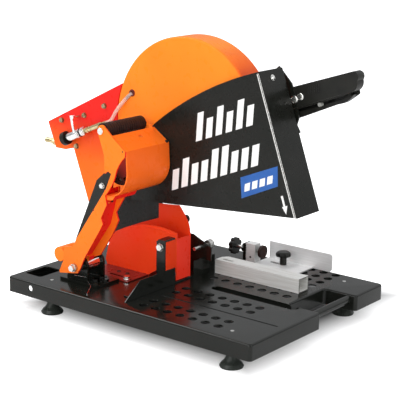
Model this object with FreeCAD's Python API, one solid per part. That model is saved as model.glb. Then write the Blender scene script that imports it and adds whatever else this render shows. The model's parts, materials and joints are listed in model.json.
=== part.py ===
"""Bench cut-off saw with a swinging head, a level-riding blade cover and a water feed.

The model is drawn from the tray: x runs from the tray's rear edge towards the operator, y from the
near edge to the far edge, and z up from the table top. The last step shifts every part, so that the
origin is on the floor under the middle of the machine's bounding box.
"""
import FreeCAD, Part
import math
import os

os.makedirs("parts", exist_ok=True)
V = FreeCAD.Vector

# ---------------------------------------------------------------- driving dimensions, mm and degrees
TRAY_LENGTH = 670.0
TRAY_WIDTH = 504.0
FLANGE_DEPTH = 35.0
TRAY_SHEET = 3.0
TABLE_HEIGHT = 75.0

BLADE_DIAMETER = 350.0
BLADE_THICKNESS = 3.2
BLADE_BORE = 25.4
BLADE_Y = 237.0

PIVOT = (158.0, 40.0)
ARBOR = (338.0, 355.0)
MOTOR = (249.0, 272.0)
HEAD_SWING = 39.0

GUARD_RADIUS = 192.0
GUARD_NEAR = 203.0
GUARD_FAR = 271.0
GUARD_SHEET = 3.0
WORK_HEIGHT = 58.0
SHIELD_REACH = 176.0

ARM_NEAR = 50.0
ARM_FAR = 102.0
ARM_PLATE = 4.0

COVER_NEAR = 196.0
COVER_FAR = 278.0
COVER_SHEET = 2.0
HUB_RADIUS = 46.0

HOLE_DIAMETER = 20.0
HOLE_PITCH = 33.0
FRONT_HOLE_X = 557.0
HOLE_COLUMNS = 7
HOLE_ROWS = (46.0, 81.0, 156.0, 190.0, 290.0, 323.0, 356.0, 388.0, 421.0, 454.0, 487.0)

FOOT_X = (96.0, 595.0)
FOOT_Y = (42.0, 462.0)

SHAFT_RADIUS = 9.0
SPINDLE_RADIUS = 8.0
RUNNING_FIT = 0.05
FREE_GAP = 0.4

parts = {}


# ---------------------------------------------------------------- small builders
def box(x, y, z):
    """A block between two x, two y and two z values."""
    return Part.makeBox(x[1] - x[0], y[1] - y[0], z[1] - z[0], V(x[0], y[0], z[0]))


def rod_x(y, z, radius, span):
    return Part.makeCylinder(radius, span[1] - span[0], V(span[0], y, z), V(1, 0, 0))


def rod_y(centre, radius, span):
    return Part.makeCylinder(radius, span[1] - span[0], V(centre[0], span[0], centre[1]), V(0, 1, 0))


def rod_z(x, y, radius, span):
    return Part.makeCylinder(radius, span[1] - span[0], V(x, y, span[0]), V(0, 0, 1))


def tube_y(centre, outer, inner, span):
    return rod_y(centre, outer, span).cut(rod_y(centre, inner, (span[0] - 1, span[1] + 1)))


def joined(shapes):
    """One solid from several that touch or overlap."""
    return shapes[0].multiFuse(shapes[1:]).removeSplitter()


def less(shape, cutters):
    return shape.cut(Part.makeCompound(cutters))


def face_of(points, to_vector):
    """A flat face. An entry is (a, b), a straight run to it, or (a, b, via_a, via_b), an arc."""
    first = to_vector(points[0][0], points[0][1])
    here = first
    edges = []
    for entry in points[1:]:
        there = to_vector(entry[0], entry[1])
        if len(entry) == 4:
            edges.append(Part.Arc(here, to_vector(entry[2], entry[3]), there).toShape())
        else:
            edges.append(Part.LineSegment(here, there).toShape())
        here = there
    if here.distanceToPoint(first) > 1e-6:
        edges.append(Part.LineSegment(here, first).toShape())
    return Part.Face(Part.Wire(edges))


def side_plate(points, span):
    """A plate drawn in the x-z plane and extruded along y."""
    face = face_of(points, lambda a, b: V(a, span[0], b))
    return face.extrude(V(0, span[1] - span[0], 0))


def cross_plate(points, span):
    """A plate drawn in the y-z plane and extruded along x."""
    face = face_of(points, lambda a, b: V(span[0], a, b))
    return face.extrude(V(span[1] - span[0], 0, 0))


def flat_plate(points, span):
    """A plate drawn in the x-y plane and extruded along z."""
    face = face_of(points, lambda a, b: V(a, b, span[0]))
    return face.extrude(V(0, 0, span[1] - span[0]))


def turned(profile, x, y):
    """A solid of revolution about the vertical through x, y, from (radius, height) points."""
    face = face_of(profile, lambda a, b: V(x + a, y, b))
    return face.revolve(V(x, y, 0), V(0, 0, 1), 360)


def hexagon(base, direction, across, height):
    """A hexagonal prism from base along direction."""
    radius = across / math.sqrt(3)
    axis = V(*direction).normalize()
    side = axis.cross(V(0.1, 0.2, 1.0)).normalize()
    up = axis.cross(side)
    ring = []
    for corner in range(7):
        turn = math.radians(60 * corner)
        ring.append(base + side * (radius * math.cos(turn)) + up * (radius * math.sin(turn)))
    return Part.Face(Part.makePolygon(ring)).extrude(axis * height)


def bolt(base, direction, size, shank=0.0):
    """A hex bolt and washer standing on base along direction, with its shank the other way."""
    axis = V(*direction).normalize()
    washer = 0.18 * size
    pieces = [hexagon(base + axis * washer, direction, 1.65 * size, 0.65 * size),
              Part.makeCylinder(1.05 * size, washer, base, axis)]
    if shank > 0:
        pieces.append(Part.makeCylinder(0.5 * size, shank, base, axis * -1.0))
    return joined(pieces)


def slot_z(x, y, width, span):
    """A round-ended upright cutter from x[0] to x[1] at y."""
    half = width / 2
    body = box((x[0] + half, x[1] - half), (y - half, y + half), span)
    return joined([body, rod_z(x[0] + half, y, half, span), rod_z(x[1] - half, y, half, span)])


def rounded(shape, radius, wanted):
    """Round the edges for which wanted(edge) is true."""
    return shape.makeFillet(radius, [edge for edge in shape.Edges if wanted(edge)])


def is_upright(edge):
    """True for a straight edge that runs along z."""
    return len(edge.Vertexes) == 2 and abs(edge.Length - edge.BoundBox.ZLength) < 1e-6


def on_circle(centre, radius, angle):
    turn = math.radians(angle)
    return (centre[0] + radius * math.cos(turn), centre[1] + radius * math.sin(turn))


# ---------------------------------------------------------------- tray and feet
NOTCH_X = 588.0
NOTCH_Y = (250.0, 390.0)
BLADE_SLOT = (396.0, 621.0)
BLADE_SLOT_WIDTH = 26.0
THROUGH = (-20.0, 10.0)
REAR_HAND_HOLD = ((14.0, 62.0), (40.0, 108.0))


def tray_outline(inset):
    right = TRAY_LENGTH - inset
    far = TRAY_WIDTH - inset
    notch = NOTCH_X - inset
    near_side = NOTCH_Y[0] - inset
    far_side = NOTCH_Y[1] + inset
    return [(inset, inset), (right, inset), (right, near_side), (notch, near_side),
            (notch, far_side), (right, far_side), (right, far), (inset, far)]


def make_tray():
    outer = flat_plate(tray_outline(0.0), (-FLANGE_DEPTH, 0.0))
    outer = rounded(outer, 8.0, is_upright)
    outer = rounded(outer, 4.5, lambda edge: edge.BoundBox.ZMin > -0.01)
    inner = flat_plate(tray_outline(TRAY_SHEET), (-FLANGE_DEPTH - 1, -TRAY_SHEET))
    tray = outer.cut(rounded(inner, 5.0, is_upright))

    cutters = []
    for row_y in HOLE_ROWS:
        for column in range(HOLE_COLUMNS):
            cutters.append(rod_z(FRONT_HOLE_X - HOLE_PITCH * column, row_y, HOLE_DIAMETER / 2, THROUGH))
    cutters.append(slot_z((345.0, 650.0), 121.0, 5.0, THROUGH))
    cutters.append(slot_z(BLADE_SLOT, BLADE_Y, BLADE_SLOT_WIDTH, THROUGH))
    cutters.append(rounded(box(*REAR_HAND_HOLD, THROUGH), 6.0, is_upright))
    cutters.append(rod_y((70.0, -15.0), 6.5, (-5, 5)))
    cutters += [rod_z(x, y, 4.0, THROUGH) for x in FOOT_X for y in FOOT_Y]
    tray = less(tray, cutters)

    trough_x = (BLADE_SLOT[0] - 4, 584.0)
    half_width = BLADE_SLOT_WIDTH / 2
    trough = box(trough_x, (BLADE_Y - half_width - 3, BLADE_Y + half_width + 3), (-9.0, -TRAY_SHEET))
    channel = box((trough_x[0] + 2, trough_x[1] + 1), (BLADE_Y - half_width, BLADE_Y + half_width), (-7.0, 0))
    return joined([tray, trough.cut(channel)])


def make_feet():
    cups, studs = [], []
    floor = -TABLE_HEIGHT
    profile = [(0, floor), (24, floor), (25, floor + 3), (21, floor + 9),
               (12, floor + 22, 14, floor + 17), (10, floor + 27), (0, floor + 27)]
    for x in FOOT_X:
        for y in FOOT_Y:
            cups.append(turned(profile, x, y).cut(rod_z(x, y, 4.0, (floor + 10, 0))))
            welded_nut = hexagon(V(x, y, -TRAY_SHEET - 6.0), (0, 0, 1), 13.0, 6.0)
            collar = rod_z(x, y, 7.5, (floor + 27, floor + 31))
            studs.append(joined([rod_z(x, y, 4.0, (floor + 10, 0.5)), collar, welded_nut]))
    return cups, studs


base_tray = make_tray()
parts["front_carry_bar"] = rod_y((649.0, -12.0), 9.0, NOTCH_Y)
foot_cups, foot_studs = make_feet()
parts["foot_cups"] = Part.makeCompound(foot_cups)
parts["foot_studs"] = Part.makeCompound(foot_studs)

# ---------------------------------------------------------------- rear fence and its stay
FENCE_X = (318.5, 321.5)
FENCE_HEIGHT = 38.0
FENCE_FOOT = ((292.0, FENCE_X[0]), (60.0, 342.0))
near_wall = cross_plate([(31, 0), (198, 0), (198, FENCE_HEIGHT), (82, FENCE_HEIGHT)], FENCE_X)
far_wall = cross_plate([(264, 0), (342, 0), (342, FENCE_HEIGHT), (264, FENCE_HEIGHT)], FENCE_X)
parts["rear_fence"] = joined([near_wall, far_wall, box(*FENCE_FOOT, (0, 3))])

STAY_Y = (286.5, 289.5)
stay_outline = [(292, 3), (318.5, 3), (318.5, 39), (352, 39), (352, 70), (300, 92), (292, 92)]
STAY_BAR = (326.0, 68.0)
parts["fence_stay"] = side_plate(stay_outline, STAY_Y).cut(rod_y(STAY_BAR, 4.0, (280, 300)))
parts["stay_bar"] = joined([rod_y(STAY_BAR, 4.0, (259.0, 306.0)), rod_y(STAY_BAR, 10.0, (306.0, 318.0))])

# ---------------------------------------------------------------- pivot bracket and shaft
EAR_NEAR = (68.0, 74.0)
EAR_FAR = (119.0, 125.0)
EAR_RADIUS = 21.0
BRACKET_BASE = 6.0
BRACKET_BOLTS = [(112, 98), (206, 98), (190, 84), (190, 108)]


def make_ear(span):
    left = PIVOT[0] - EAR_RADIUS
    right = PIVOT[0] + EAR_RADIUS
    outline = [(118, 0), (right, 0), (right, PIVOT[1]),
               (left, PIVOT[1], PIVOT[0], PIVOT[1] + EAR_RADIUS), (118, 12)]
    return side_plate(outline, span)


bracket = joined([box((104, 214), (60, 133), (0, BRACKET_BASE)), make_ear(EAR_NEAR), make_ear(EAR_FAR)])
bracket = bracket.cut(rod_y(PIVOT, SHAFT_RADIUS, (40, 140)))
parts["pivot_bracket"] = less(bracket, [rod_z(x, y, 4.0, (-5, 10)) for x, y in BRACKET_BOLTS])
base_tray = less(base_tray, [rod_z(x, y, 4.0, (-10, 5)) for x, y in BRACKET_BOLTS])

SHAFT_SPAN = (44.0, 131.0)
parts["pivot_shaft"] = rod_y(PIVOT, SHAFT_RADIUS, SHAFT_SPAN)
SLEEVE_SPAN = (EAR_NEAR[1] + FREE_GAP, EAR_FAR[0] - FREE_GAP)
SLEEVE_RADIUS = 16.0
BUSH_RADIUS = 12.0
BUSH_LENGTH = 14.0
parts["pivot_sleeve"] = tube_y(PIVOT, SLEEVE_RADIUS, BUSH_RADIUS, SLEEVE_SPAN)
bush_spans = [(SLEEVE_SPAN[0], SLEEVE_SPAN[0] + BUSH_LENGTH), (SLEEVE_SPAN[1] - BUSH_LENGTH, SLEEVE_SPAN[1])]
parts["pivot_bushes"] = Part.makeCompound(
    [tube_y(PIVOT, BUSH_RADIUS, SHAFT_RADIUS + RUNNING_FIT, span) for span in bush_spans])

# ---------------------------------------------------------------- swinging arm and motor housing
WRAP_RADIUS = 58.0
WRAP_SHEET = 3.0
WRAP_SPAN = (ARM_NEAR + ARM_PLATE, 193.0)
WRAP_TOP = (262.0, 347.0)
WRAP_BEND = (304.0, 319.0)
WRAP_REAR = 245.0
GRIP_AXIS = (237.0, 354.5)
GRIP_BAR = 6.0
GRIP_EAR = (178.0, 182.0)


def wrap_side(inset):
    """The outer or inner side of the bent sheet round the motor, from its top edge to its rear lip."""
    radius = WRAP_RADIUS - inset
    return [(WRAP_TOP[0], WRAP_TOP[1] - 1.2 * inset), (WRAP_BEND[0] - 0.95 * inset, WRAP_BEND[1] - 0.6 * inset),
            on_circle(MOTOR, radius, 0), on_circle(MOTOR, radius, 270) + on_circle(MOTOR, radius, 315),
            (WRAP_REAR, MOTOR[1] - radius)]


def make_housing():
    filled = side_plate(wrap_side(0.0) + [(WRAP_REAR, WRAP_TOP[1])], WRAP_SPAN)
    hollow = side_plate(wrap_side(WRAP_SHEET) + [(WRAP_REAR, WRAP_TOP[1])], (WRAP_SPAN[0] - 1, WRAP_SPAN[1] + 1))
    rear_room = box((WRAP_REAR - 1, WRAP_TOP[0]), (WRAP_SPAN[0] - 1, WRAP_SPAN[1] + 1), (MOTOR[1], 400))
    shell = filled.cut(hollow).cut(rear_room)
    rear = GRIP_AXIS[0] - 11.0
    ear = side_plate([(rear, 346), (275, 337.5), (267, 350), (249, 362), (rear, 358, GRIP_AXIS[0], 367)], GRIP_EAR)
    shell = joined([shell, ear])
    shell = less(shell, [box((273, 279), (126, 137), (320, 350)), rod_y(GRIP_AXIS, GRIP_BAR, (150, 200))])
    return shell, filled


parts["motor_housing"], housing_envelope = make_housing()

near_flange = [(228, 350), (247, 364, 234, 366.5), (262, 350.5), (304, 319), (303, 308),
               (279, 273, 288, 290), (248, 217, 267, 243), (252, 197), (236, 166), (241, 153), (232, 137),
               (187, 67), (174, 40), (166, 28), (113, 19), (111, 23), (124, 50), (125, 82), (148, 86),
               (156, 93), (163, 106), (250, 232), (265, 267), (256, 271), (246.5, 264), (244.5, 305)]
far_flange = [(243, 228), (262, 214), (258, 204), (236, 169), (243, 152), (226, 118), (190, 64),
              (172, 56), (146, 62), (156, 93), (163, 106)]
web_outline = [(162, 58), (221, 142), (229, 171), (243, 216), (243, 228), (225, 172), (217, 145), (156, 64)]
saddle_outline = [(246, 216), (244, 206), (266, 209), (277, 226)]
rib_outline = [(146, 62), (172, 60), (170, 50), (145, 50)]


def make_arm():
    inside = (ARM_NEAR + ARM_PLATE, ARM_FAR - ARM_PLATE)
    near = side_plate(near_flange, (ARM_NEAR, inside[0]))
    far = side_plate(far_flange, (inside[1], ARM_FAR))
    web = side_plate(web_outline, inside)
    saddle = side_plate(saddle_outline, (inside[0], 125.0))
    rib = side_plate(rib_outline, (82.0, inside[1]))
    arm = joined([near, far, web, saddle, rib])
    ear_room = rod_y(PIVOT, EAR_RADIUS + 3.0, (EAR_NEAR[0] - 1, EAR_NEAR[1] + 1))
    cutters = [housing_envelope, ear_room, rod_y(PIVOT, SLEEVE_RADIUS, (76, 118)),
               rod_y(PIVOT, SHAFT_RADIUS + RUNNING_FIT, (40, 60)), rod_y(GRIP_AXIS, GRIP_BAR, (40, 60)),
               rod_x(76.0, 195.0, 2.5, (230, 242))]
    return less(arm, cutters)


parts["swing_arm"] = make_arm()
BRACE_Y = (76.0, 82.0)
brace_outline = [(137, 96), (200, 239), (229, 264), (242, 258), (243, 228), (163, 106), (156, 93)]
BRACE_BOLT = (217.0, 229.0)
parts["arm_brace"] = side_plate(brace_outline, BRACE_Y)

DRUM_CENTRE = (108.0, 59.5)
DRUM_SPAN = (ARM_NEAR + ARM_PLATE, 104.0)
drum_wall = tube_y(DRUM_CENTRE, 16.5, 13.5, DRUM_SPAN)
drum_end = rod_y(DRUM_CENTRE, 13.5, (DRUM_SPAN[0], DRUM_SPAN[0] + 3.0))
parts["spring_drum"] = joined([drum_wall, drum_end])
SPRING_TURNS = 9
WIRE = 3.6


def close_wound_spring():
    """A tube whose outside bulges once for each turn of a close-wound spring."""
    start = 60.0
    radius = 11.3
    centre_x, centre_z = DRUM_CENTRE
    points = [(8.2, start), (radius, start)]
    for turn in range(SPRING_TURNS):
        near = start + turn * WIRE
        points.append((radius, near + WIRE, radius + WIRE / 2, near + WIRE / 2))
    points.append((8.2, start + SPRING_TURNS * WIRE))
    face = face_of(points, lambda a, b: V(centre_x + a, b, centre_z))
    return face.revolve(V(centre_x, 0, centre_z), V(0, 1, 0), 360)


parts["counterbalance_spring"] = close_wound_spring()
grip_bar_head = rod_y(GRIP_AXIS, 7.5, (ARM_NEAR - 4.0, ARM_NEAR))
parts["carry_grip_bar"] = joined([rod_y(GRIP_AXIS, GRIP_BAR, (ARM_NEAR, GRIP_EAR[1])), grip_bar_head])
grip_rings = [tube_y(GRIP_AXIS, 20.0, 15.0, (61.0 + 7.0 * ring, 63.0 + 7.0 * ring)) for ring in range(16)]
parts["carry_grip"] = less(tube_y(GRIP_AXIS, 16.0, GRIP_BAR, (56.0, 177.0)), grip_rings)

# ---------------------------------------------------------------- motor
CAN_RADIUS = 40.0
CAN_BORE = 36.0
MOTOR_NEAR = 96.0
CAN_SPAN = (108.0, 182.0)
STATOR_SPAN = (122.0, 170.0)
FAN_SPAN = (110.0, 119.0)
STATOR_BORE = 26.0
BEARING_RADIUS = 16.0
BEARING_WIDTH = 8.0
JOURNAL = SPINDLE_RADIUS - RUNNING_FIT


def make_fan_cover():
    wall = MOTOR_NEAR + 3.0
    cup = rod_y(MOTOR, CAN_RADIUS, (MOTOR_NEAR, CAN_SPAN[0])).cut(rod_y(MOTOR, CAN_BORE, (wall, CAN_SPAN[0] + 1)))
    cup = joined([cup, tube_y(MOTOR, BEARING_RADIUS + 3.0, BEARING_RADIUS, (wall, wall + BEARING_WIDTH))])
    vents = []
    for spoke in range(12):
        centre = on_circle(MOTOR, 28.0, 30 * spoke)
        vents.append(rod_y(centre, 4.0, (90, 102)))
    return less(cup, vents)


def make_motor_rotor():
    core = rod_y(MOTOR, STATOR_BORE - 1.0, STATOR_SPAN)
    fan = [rod_y(MOTOR, 14.0, FAN_SPAN)]
    for vane in range(6):
        blade = box((MOTOR[0] - 1, MOTOR[0] + 1), FAN_SPAN, (MOTOR[1] + 10, MOTOR[1] + 33))
        blade.rotate(V(MOTOR[0], 0, MOTOR[1]), V(0, 1, 0), 60 * vane)
        fan.append(blade)
    return joined([core, rod_y(MOTOR, JOURNAL, (100.0, 229.0))] + fan)


parts["motor_can"] = tube_y(MOTOR, CAN_RADIUS, CAN_BORE, CAN_SPAN)
parts["motor_fan_cover"] = make_fan_cover()
end_plate = tube_y(MOTOR, CAN_RADIUS, BEARING_RADIUS, (CAN_SPAN[1], 190.0))
parts["motor_mount_ring"] = joined([end_plate, tube_y(MOTOR, HUB_RADIUS, 38.0, (188.0, GUARD_NEAR))])
parts["motor_stator"] = tube_y(MOTOR, CAN_BORE, STATOR_BORE, STATOR_SPAN)
parts["motor_rotor"] = make_motor_rotor()
GLAND_Y = 140.0
gland_nut = hexagon(V(196.0, GLAND_Y, MOTOR[1]), (1, 0, 0), 18.0, 9.0)
gland = joined([gland_nut, rod_x(GLAND_Y, MOTOR[1], 7.0, (190, 211))])
gland = less(gland, [rod_x(GLAND_Y, MOTOR[1], 4.0, (189, 206)), rod_y(MOTOR, CAN_RADIUS, (120, 160))])
parts["cable_gland"] = gland

# ---------------------------------------------------------------- belt drive and blade
BELT_SPAN = (219.5, 227.5)
MOTOR_PULLEY = 26.0
ARBOR_PULLEY = 24.0
PULLEY_RIM = 4.0
RIM_WIDTH = 1.5


def make_pulley(centre, radius, bore):
    rims = [rod_y(centre, radius + PULLEY_RIM, (BELT_SPAN[0] - RIM_WIDTH, BELT_SPAN[0])),
            rod_y(centre, radius + PULLEY_RIM, (BELT_SPAN[1], BELT_SPAN[1] + RIM_WIDTH))]
    return joined([rod_y(centre, radius, BELT_SPAN)] + rims).cut(rod_y(centre, bore, (200, 240)))


def belt_solid(extra):
    """The hull of the belt's two pulley circles, each grown by extra."""
    run = (ARBOR[0] - MOTOR[0], ARBOR[1] - MOTOR[1])
    along = math.degrees(math.atan2(run[1], run[0]))
    tilt = math.degrees(math.acos((MOTOR_PULLEY - ARBOR_PULLEY) / math.hypot(*run)))
    big = MOTOR_PULLEY + extra
    small = ARBOR_PULLEY + extra
    outline = [on_circle(MOTOR, big, along + tilt),
               on_circle(MOTOR, big, along - tilt) + on_circle(MOTOR, big, along + 180),
               on_circle(ARBOR, small, along - tilt),
               on_circle(ARBOR, small, along + tilt) + on_circle(ARBOR, small, along)]
    return side_plate(outline, (BELT_SPAN[0] + 0.5, BELT_SPAN[1] - 0.5))


parts["motor_pulley"] = make_pulley(MOTOR, MOTOR_PULLEY, JOURNAL)
parts["arbor_pulley"] = make_pulley(ARBOR, ARBOR_PULLEY, JOURNAL)
parts["drive_belt"] = belt_solid(3.5).cut(belt_solid(0.3))

HOUSING_SPAN = (GUARD_NEAR + GUARD_SHEET, 217.0)
parts["arbor_housing"] = tube_y(ARBOR, 24.0, BEARING_RADIUS, HOUSING_SPAN)
bearings = [(MOTOR, 99.0), (MOTOR, 182.0), (ARBOR, 208.0)]
parts["shaft_bearings"] = Part.makeCompound(
    [tube_y(centre, BEARING_RADIUS, SPINDLE_RADIUS, (near, near + BEARING_WIDTH)) for centre, near in bearings])

BLADE_NEAR = BLADE_Y - BLADE_THICKNESS / 2
BLADE_END = BLADE_Y + BLADE_THICKNESS / 2
FLANGE_WIDTH = 3.4
SHOULDER = (BLADE_NEAR - FLANGE_WIDTH, BLADE_END + FLANGE_WIDTH)
parts["arbor_shaft"] = joined([rod_y(ARBOR, JOURNAL, (207.0, 254.0)), rod_y(ARBOR, BLADE_BORE / 2, SHOULDER)])
parts["blade_flanges"] = Part.makeCompound(
    [tube_y(ARBOR, 32.0, BLADE_BORE / 2, (SHOULDER[0], BLADE_NEAR)),
     tube_y(ARBOR, 32.0, BLADE_BORE / 2, (BLADE_END, SHOULDER[1]))])
nut = hexagon(V(ARBOR[0], SHOULDER[1], ARBOR[1]), (0, 1, 0), 27.0, 9.0)
parts["arbor_nut"] = nut.cut(rod_y(ARBOR, JOURNAL, (230, 260)))

BLADE_SEGMENTS = 21
SEGMENT_DEPTH = 9.0
GULLET_WIDTH = 2.4


def make_blade():
    disc = tube_y(ARBOR, BLADE_DIAMETER / 2, BLADE_BORE / 2, (BLADE_NEAR, BLADE_END))
    step = 360.0 / BLADE_SEGMENTS
    middle = BLADE_DIAMETER / 2 - SEGMENT_DEPTH / 2
    gullets = []
    for segment in range(BLADE_SEGMENTS):
        centre = V(ARBOR[0] + middle, 0, ARBOR[1])
        gullet = box((centre.x - SEGMENT_DEPTH / 2, centre.x + SEGMENT_DEPTH), (BLADE_NEAR - 1, BLADE_END + 1),
                     (centre.z - GULLET_WIDTH / 2, centre.z + GULLET_WIDTH / 2))
        gullet.rotate(V(ARBOR[0], 0, ARBOR[1]), V(0, 1, 0), segment * step)
        gullets.append(gullet)
    return less(disc, gullets)


parts["diamond_blade"] = make_blade()

# ---------------------------------------------------------------- guard and head plates
LIFT = math.radians(HEAD_SWING)
HOSE_ENTRY = (190.0, 411.0)
PLATE_SHEET = 4.0
FAR_SHEET = 3.0


def cut_line(along, above=WORK_HEIGHT):
    """A point of the line that lies above the table top, and level, once the head is down."""
    return (PIVOT[0] - math.sin(LIFT) * above + math.cos(LIFT) * along,
            PIVOT[1] + math.cos(LIFT) * above + math.sin(LIFT) * along)


def guard_segment(radius, span, above):
    below = [cut_line(-200, above), cut_line(800, above), cut_line(800, -400), cut_line(-200, -400)]
    return rod_y(ARBOR, radius, span).cut(side_plate(below, (span[0] - 1, span[1] + 1)))


def is_guard_rim(edge):
    curve = edge.Curve
    return curve.TypeId == "Part::GeomCircle" and abs(curve.Radius - GUARD_RADIUS) < 1e-3


def make_guard():
    guard = guard_segment(GUARD_RADIUS, (GUARD_NEAR, GUARD_FAR), WORK_HEIGHT)
    guard = rounded(guard, 5.0, is_guard_rim)
    room = guard_segment(GUARD_RADIUS - GUARD_SHEET, (GUARD_NEAR + GUARD_SHEET, GUARD_FAR - GUARD_SHEET),
                         WORK_HEIGHT - 20)
    return less(guard, [room, rod_y(MOTOR, 31.0, (200, 210)), rod_y(HOSE_ENTRY, 4.0, (200, 210)),
                        rod_y(ARBOR, 36.0, (260, 280)), rod_y(PIVOT, SHIELD_REACH + 4.0, (200, 280))])


parts["blade_guard"] = make_guard()
guard_disc = rod_y(ARBOR, GUARD_RADIUS, (190, 290))
rear_outline = [(-69, 314), (-45, 255), (-14, 255), (12, 262), (58, 141), (68, 118), (128, 150), (205, 205),
                (205, 451), (153, 425)]
rear_sheet = side_plate(rear_outline, (GUARD_NEAR, GUARD_NEAR + PLATE_SHEET))
rear_rail = side_plate([(-69, 314), (153, 425), (148, 421), (-66, 310)], (GUARD_NEAR, GUARD_NEAR + 34.0))
rear_plate = joined([rear_sheet, rear_rail]).cut(guard_disc)
parts["rear_plate"] = max(rear_plate.Solids, key=lambda solid: solid.Volume)

FAR_RADIUS = GUARD_RADIUS - 16.0
far_outline = [cut_line(126), cut_line(430), on_circle(ARBOR, FAR_RADIUS, 45),
               on_circle(ARBOR, FAR_RADIUS, 170) + on_circle(ARBOR, FAR_RADIUS, 105),
               (100, 250), (58, 112), (58, 44), (76, 42), (162, 78), (228, 112)]
parts["far_cover"] = side_plate(far_outline, (GUARD_FAR, GUARD_FAR + FAR_SHEET))

# ---------------------------------------------------------------- level-riding blade cover
COVER_HUB = 52.0
COVER_CORNER = (534.0, 495.0)
COVER_TIP = (638.0, 207.0)


def make_cover():
    outline = [(228, 318), (259, 352), COVER_CORNER + (396, 440), COVER_TIP, (194, 172),
               (194, MOTOR[1]), (228, 318) + on_circle(MOTOR, COVER_HUB, 150)]
    near = side_plate(outline, (COVER_NEAR, COVER_NEAR + COVER_SHEET))
    back = COVER_SHEET * 1.065
    front = side_plate([COVER_CORNER, COVER_TIP, (COVER_TIP[0] - back, COVER_TIP[1]),
                        (COVER_CORNER[0] - back, COVER_CORNER[1])], (COVER_NEAR, COVER_FAR))
    return joined([near, front]).cut(rod_y(MOTOR, HUB_RADIUS + RUNNING_FIT, (190, 200)))


parts["blade_cover"] = make_cover()

# ---------------------------------------------------------------- operator's handle
HANDLE_NEAR = 284.0
HANDLE_FAR = 314.0
BRACKET_SHEET = 4.0
bracket_outline = [(462, 398), (500, 478), (521, 496), (554, 463), (567, 430), (575, 394), (570, 378),
                   (579, 363), (566, 356), (520, 372)]
STAND_OFFS = [(484, 418), (500, 400), (470, 405)]
grip_outline = [(553, 405), (678, 451), (700, 462), (710, 486, 710, 474), (700, 504, 709, 500), (556, 456)]
TRIGGER_PIN = (684.0, 459.0)
TRIGGER_Y = (295.0, 309.0)
trigger_outline = [(568, 404), (672, 442.5), (685, 449), (697, 455), (660, 431, 684, 441), (568, 391)]
LOCK_BUTTON = (626.0, 428.0)
BUTTON_TRAVEL = 3.0
BUTTON_END = 290.5


def make_handle():
    plate = side_plate(bracket_outline, (HANDLE_NEAR, HANDLE_NEAR + BRACKET_SHEET))
    legs = [rod_y(at, 8.0, (GUARD_FAR + FAR_SHEET, HANDLE_NEAR)) for at in STAND_OFFS]
    bracket = joined([plate] + legs)
    grip = side_plate(grip_outline, (HANDLE_NEAR, HANDLE_FAR))
    grip = rounded(grip, 7.0, lambda edge: edge.BoundBox.YMin > HANDLE_FAR - 0.01)
    hand_guard = side_plate([(554, 408), (678, 453), (700, 464), (702, 456), (684, 442), (672, 436), (556, 393)],
                            (309.8, 313.0))
    grip = joined([grip, hand_guard])
    pocket = rod_y(TRIGGER_PIN, 7.0, (298.0, 306.0))
    mouth = side_plate([(676, 440), (693, 448), (691, 460), (677, 457)], (298.0, 306.0))
    button_hole = rod_y(LOCK_BUTTON, 4.0 + RUNNING_FIT, (HANDLE_NEAR - 1, BUTTON_END + BUTTON_TRAVEL + FREE_GAP))
    grip = less(grip, [plate, pocket, mouth, button_hole])
    grip = joined([grip, rod_y(TRIGGER_PIN, 2.0, (297.0, 307.0))])
    lever = side_plate(trigger_outline, TRIGGER_Y)
    tongue = joined([rod_y(TRIGGER_PIN, 5.0, (299.0, 305.0)),
                     side_plate([(679.5, 459), (680, 446), (689, 450), (688.5, 459)], (299.0, 305.0))])
    trigger = joined([lever, tongue]).cut(rod_y(TRIGGER_PIN, 2.0 + RUNNING_FIT, (290, 310)))
    return bracket, grip, trigger


parts["handle_bracket"], parts["handle_grip"], parts["trigger"] = make_handle()
parts["lock_button"] = rod_y(LOCK_BUTTON, 4.0, (HANDLE_NEAR - 4.0, BUTTON_END))

# ---------------------------------------------------------------- fasteners of the head
SCREW = 6.0
rear_screws = [(47, 343), (108, 372), (-24, 323), (22, 268)]
far_screws = [(175, 300), (215, 225), (338, 515), (470, 440), (245, 480)]
handle_screws = [(563, 431), (577, 438)]
head_screws = [bolt(V(x, GUARD_NEAR, z), (0, -1, 0), SCREW) for x, z in rear_screws]
head_screws += [bolt(V(x, GUARD_FAR + FAR_SHEET, z), (0, 1, 0), SCREW) for x, z in far_screws]
head_screws += [bolt(V(x, HANDLE_NEAR, z), (0, -1, 0), SCREW) for x, z in handle_screws]
head_screws.append(bolt(V(BRACE_BOLT[0], BRACE_Y[0], BRACE_BOLT[1]), (0, -1, 0), SCREW))
parts["head_screws"] = Part.makeCompound(head_screws)

# ---------------------------------------------------------------- water feed on the rear plate
FEED_ANGLE = 23.0
FEED_Y = 186.0
FEED_START = V(2.0, FEED_Y, 285.5)
FEED_AXIS = V(math.cos(math.radians(FEED_ANGLE)), 0, math.sin(math.radians(FEED_ANGLE)))
KNOB_SPAN = (-4.0, 12.0)
PIPE_END = 138.0
NIPPLE_Z = 266.0
NIPPLE_Y = 216.0
NIPPLE_RADIUS = 6.0


def feed_rod(radius, span):
    return Part.makeCylinder(radius, span[1] - span[0], FEED_START + FEED_AXIS * span[0], FEED_AXIS)


def feed_hex(across, span):
    return hexagon(FEED_START + FEED_AXIS * span[0], tuple(FEED_AXIS), across, span[1] - span[0])


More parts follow.
